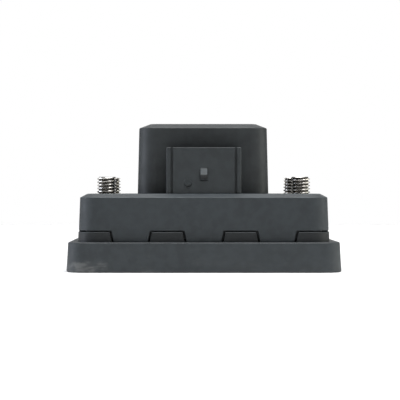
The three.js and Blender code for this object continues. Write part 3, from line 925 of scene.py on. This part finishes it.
def build_moat():
    """The crescent sunk into the port's front under the ejector mark."""
    radius, sunk = MARK["radius"], MARK["moat"]
    return port_disc("moat", ((radius, THROUGH, 0, sunk), (radius, -sunk, 0, sunk)))


def build_ribs():
    """The coding ribs on the back wall inside the port."""
    wall = PORT_BACK - PORT_WALL
    front, back, low = wall - PORT_RIBS["depth"], wall + THROUGH, PORT_FLOOR - THROUGH
    width, top = PORT_RIBS["width"], PORT_RIBS["top"]
    return blocks("ribs", [(x, x + width, front, back, low, top) for x in PORT_RIBS["x"]])


def build_stub(foot):
    """What reaches down from the port's foot through the housing."""
    half_x, half_y = PORT_STUB
    y = PORT_CENTRE[1]
    return blocks("stub", [(-half_x, half_x, y - half_y, y + half_y, port_low.z, foot + THROUGH)])


def build_port():
    foot = DECK + CONTACT
    outline = [
        (PORT_WALL, PORT_FLOOR, 0),
        (PORT_WALL, port_high.z, 0.5),
        (0, port_high.z, 0.35),
        (0, foot, 0.1),
        (PORT_HALF[1] - 0.5, foot, 0),
    ]
    port = shell("port_shell", PORT_HALF, PORT_CORNER, outline, PORT_CENTRE)
    before = PORT_FRONT - THROUGH
    cuts = []
    for x in (-GROOVE["x"], GROOVE["x"]):
        half = GROOVE["width"] / 2
        back = PORT_FRONT + GROOVE["depth"]
        cuts.append((x - half, x + half, before, back, foot - THROUGH, port_high.z + THROUGH))
    reach, back = LATCH["half"] + RELIEF["past"], PORT_FRONT + RELIEF["depth"]
    high = LATCH["bottom"] - RELIEF["below"]
    cuts.append((-reach, reach, before, back, high - RELIEF["height"], high))
    combine(port, "DIFFERENCE", blocks("grooves", cuts), build_moat())
    bevel(port, EDGES["port"])
    apply_modifiers(port)
    combine(port, "UNION", build_latch(), build_mark(), build_ribs(), build_stub(foot))
    stand_for(port, "port_shroud", port_plastic)


# ---------------------------------------------------------------- metal parts


def hexagon(across):
    """The radius of a hexagon of that size across its flats, as a function of the angle."""
    sixth = math.pi / 3

    def radius(angle):
        return across / 2 / math.cos((angle % sixth) - sixth / 2)

    return radius


def threaded_rod(name, x, y, bottom, top, phase):
    """A rod with a right-hand thread, whose rows of vertices climb with the helix."""
    bm = bmesh.new()
    angles = [2 * math.pi * i / STUD_SIDES for i in range(STUD_SIDES)]

    def vertex(angle, radius, z):
        place = (x + radius * math.cos(angle), y + radius * math.sin(angle), z)
        return bm.verts.new(Vector(place) * MM)

    low = [vertex(angle, STUD["root"], bottom) for angle in angles]
    high = [vertex(angle, STUD["root"], top) for angle in angles]
    rows_per_turn = len(THREAD)
    rows = rows_per_turn * (math.ceil((top - bottom) / STUD["pitch"]) + 2)
    columns = []
    for i, angle in enumerate(angles):
        column = []
        for k in range(rows + rows_per_turn):
            height, radius = THREAD[k % rows_per_turn]
            turn = phase - 2 + k // rows_per_turn + height + i / STUD_SIDES
            z = bottom + STUD["pitch"] * turn
            if z <= bottom:
                column.append(low[i])
            elif z >= top:
                column.append(high[i])
            else:
                column.append(vertex(angle, radius, z))
        columns.append(column)
    for i, column in enumerate(columns):
        last = i == STUD_SIDES - 1
        beside = columns[0][rows_per_turn:] if last else columns[i + 1]
        for k in range(min(len(column), len(beside)) - 1):
            corners = (column[k], beside[k], beside[k + 1], column[k + 1])
            corners = list(dict.fromkeys(corners))
            if len(corners) > 2:
                bm.faces.new(corners)
    bm.faces.new(reversed(low))
    bm.faces.new(high)
    return new_object(name, bm)


def build_stud(place, phase):
    """A hexagon-headed stud: the head below, the thread cut off with a chamfer above."""
    low, high = box_mm("stud_" + place)
    x, y = middle_of("stud_" + place)
    top, head_top, thread_start = high.z, low.z + STUD_HEAD, DECK - THREAD_DEPTH
    name = "stud_" + place + "_threaded"
    rod = threaded_rod(name, x, y, thread_start - 2, top + 2, phase)
    wide = STUD["radius"] + 1
    chamfer = wide - STUD["end"]
    limits = [(wide, thread_start), (wide, top - chamfer), (STUD["end"], top)]
    combine(rod, "INTERSECT", polar("limits", x, y, limits, STUD_SIDES))
    hexagonal = hexagon(STUD["across"])
    rows = [
        (STUD["across"] / 2 - 0.4, low.z),
        (lambda a: min(hexagonal(a), STUD["across"] / 2 + 0.2), low.z + 0.3),
        (hexagonal, low.z + 0.8),
        (hexagonal, head_top),
        (STUD["radius"], head_top),
        (STUD["radius"], thread_start + 0.3),
    ]
    combine(rod, "UNION", polar("head", x, y, rows, STUD_SIDES))
    stand_for(rod, "stud_" + place, stud_steel)


def build_slots(low, high, name):
    """The slots for the blades, at the inner end of a block's foot."""
    half, length = SLOT["half"], SLOT["length"]
    if name == "left":
        x_span = (high.x - length, high.x + THROUGH)
    else:
        x_span = (low.x - THROUGH, low.x + length)
    z_span = (low.z - THROUGH, low.z + SLOT["height"])
    return blocks("slots", [(*x_span, y - half, y + half, *z_span) for y in BLADES_AT])


def build_blocks():
    for name in ("left", "right"):
        node = "terminal_block_" + name
        low, high = box_mm(node)
        pad = pad_span(low, high, name)
        centre = (sum(pad) / 2, 0)
        half = ((pad[1] - pad[0]) / 2, high.y)
        outline = [
            (half[0] - 0.4, low.z, 0),
            (0, low.z, 0.3),
            (0, high.z, BLOCK["edge"]),
            (half[0] - 0.4, high.z, 0),
        ]
        block = shell(node + "_pad", half, BLOCK["corner"], outline, centre)
        foot_x = (pad[1] - 1, high.x) if name == "left" else (low.x, pad[0] + 1)
        half_y, foot_top = BLOCK_FOOT["half"], low.z + BLOCK_FOOT["height"]
        foot = blocks("foot", [(*foot_x, -half_y, half_y, low.z, foot_top)])
        combine(block, "UNION", foot)
        bores = []
        for y in (-STUD["y"], STUD["y"]):
            x = math.copysign(STUD["x"], centre[0])
            bottom, top = low.z - THROUGH, high.z + THROUGH
            bores.append(cylinder("bore", x, y, BLOCK["bore"], bottom, top, HOLE_SIDES))
        sense_x = math.copysign(SENSE["x"], centre[0])
        sense_top = foot_top + THROUGH
        bores.append(cylinder("bore", sense_x, 0, SENSE["bore"], low.z + 1, sense_top, 24))
        combine(block, "DIFFERENCE", *bores, build_slots(low, high, name))
        bevel(block, EDGES["block"], 2)
        apply_modifiers(block)
        stand_for(block, node, tinned_copper)


def build_sleeves():
    bore, radius, edge = SLEEVE["bore"], SLEEVE["radius"], SLEEVE["edge"]
    for place in CORNERS:
        node = "mount_sleeve_" + place
        low, high = box_mm(node)
        x, y = middle_of(node)
        top = high.z - SLEEVE["sunk"]
        sleeve = tube(node + "_turned", x, y, bore, radius, low.z, top, edge)
        stand_for(sleeve, node, brass)


def build_screws():
    """Pan-head screws with a hexagonal socket, driven upwards or, for the sense screws, down."""
    socket = hexagon(SCREW["socket"])
    head_height = SCREW_HEAD[-1][1]
    for node in sorted(nodes):
        if "_screw_" not in node:
            continue
        low, high = box_mm(node)
        x, y = middle_of(node)
        down = node.startswith("sense")
        tip, head_end = (low.z, high.z) if down else (high.z, low.z)
        away = 1 if down else -1
        seat = head_end - away * head_height
        rows = [
            (SCREW["tip"], tip),
            (SCREW["shank"], tip + away * SCREW["taper"]),
            (SCREW["shank"], seat),
        ]
        rows += [(radius, seat + away * rise) for radius, rise in SCREW_HEAD]
        rows += [(socket, head_end), (socket, head_end - away * SCREW["socket_depth"])]
        screw = polar(node + "_turned", x, y, rows, SCREW_SIDES)
        stand_for(screw, node, stainless)


def dress_inner_nodes():
    """The nodes that keep their shape get their materials."""
    slots = {part["node"]: part["material_slot"] for part in frame["record"]["subparts"]}
    for name, obj in nodes.items():
        obj.data.materials.clear()
        obj.data.materials.append(MATERIALS[slots[name]])


# ---------------------------------------------------------------- stage


def plain_material(name, colour, roughness):
    material = bpy.data.materials.new(name)
    material.use_nodes = True
    shader = material.node_tree.nodes["Principled BSDF"]
    shader.inputs["Base Color"].default_value = (*colour, 1)
    shader.inputs["Roughness"].default_value = roughness
    shader.inputs["Specular IOR Level"].default_value = 0.1
    return material


def build_floor():
    """A pale disc, wide enough to hold the light round the object."""
    bm = bmesh.new()
    bmesh.ops.create_circle(bm, cap_ends=True, segments=96, radius=FLOOR_RADIUS)
    floor = new_object("floor", bm)
    floor.data.materials.append(plain_material("floor", (0.88, 0.88, 0.88), 0.9))


def add_light(name, place, size, power, colour):
    """A rectangular soft light at place, in metres, that faces the object."""
    data = bpy.data.lights.new(name, "AREA")
    data.shape = "RECTANGLE"
    data.size, data.size_y = size
    data.energy = power
    data.color = colour
    light = bpy.data.objects.new(name, data)
    light.location = place
    direction = Vector(LIGHT_TARGET) - Vector(place)
    light.rotation_euler = direction.to_track_quat("-Z", "Y").to_euler()
    bpy.context.scene.collection.objects.link(light)


def build_world():
    """Bright to the eye, dimmer as a source, so that the soft lights shape the object."""
    world = bpy.data.worlds.new("studio")
    world.use_nodes = True
    tree = world.node_tree
    tree.nodes.clear()
    path = tree.nodes.new("ShaderNodeLightPath")
    seen = tree.nodes.new("ShaderNodeBackground")
    seen.inputs["Color"].default_value = (1, 1, 1, 1)
    seen.inputs["Strength"].default_value = 1.0
    source = tree.nodes.new("ShaderNodeBackground")
    source.inputs["Color"].default_value = (1, 1, 1, 1)
    source.inputs["Strength"].default_value = WORLD_STRENGTH
    mix = tree.nodes.new("ShaderNodeMixShader")
    output = tree.nodes.new("ShaderNodeOutputWorld")
    tree.links.new(path.outputs["Is Camera Ray"], mix.inputs[0])
    tree.links.new(source.outputs[0], mix.inputs[1])
    tree.links.new(seen.outputs[0], mix.inputs[2])
    tree.links.new(mix.outputs[0], output.inputs["Surface"])
    bpy.context.scene.world = world


def build_lights():
    for name, place, size, power, colour in LIGHTS:
        add_light(name, place, size, power, colour)


def build_camera():
    """Nearly level with the deck, and a little to the left of the middle of the object."""
    data = bpy.data.cameras.new("camera")
    data.sensor_width = 36
    data.lens = CAMERA["lens"]
    data.shift_x, data.shift_y = CAMERA["shift"]
    data.clip_end = 20
    camera = bpy.data.objects.new("camera", data)
    camera.location = Vector(CAMERA["place"]) * MM
    camera.rotation_euler = (math.pi / 2, 0, 0)
    bpy.context.scene.collection.objects.link(camera)
    bpy.context.scene.camera = camera


# ---------------------------------------------------------------- put it together

build_camera()
build_floor()
build_world()
build_lights()
bpy.context.scene.view_settings.view_transform = "Standard"

build_base()
build_housing()
build_cover()
build_port()
for stud_place, stud_phase in THREAD_PHASES.items():
    build_stud(stud_place, stud_phase)
build_blocks()
build_sleeves()
build_screws()
dress_inner_nodes()
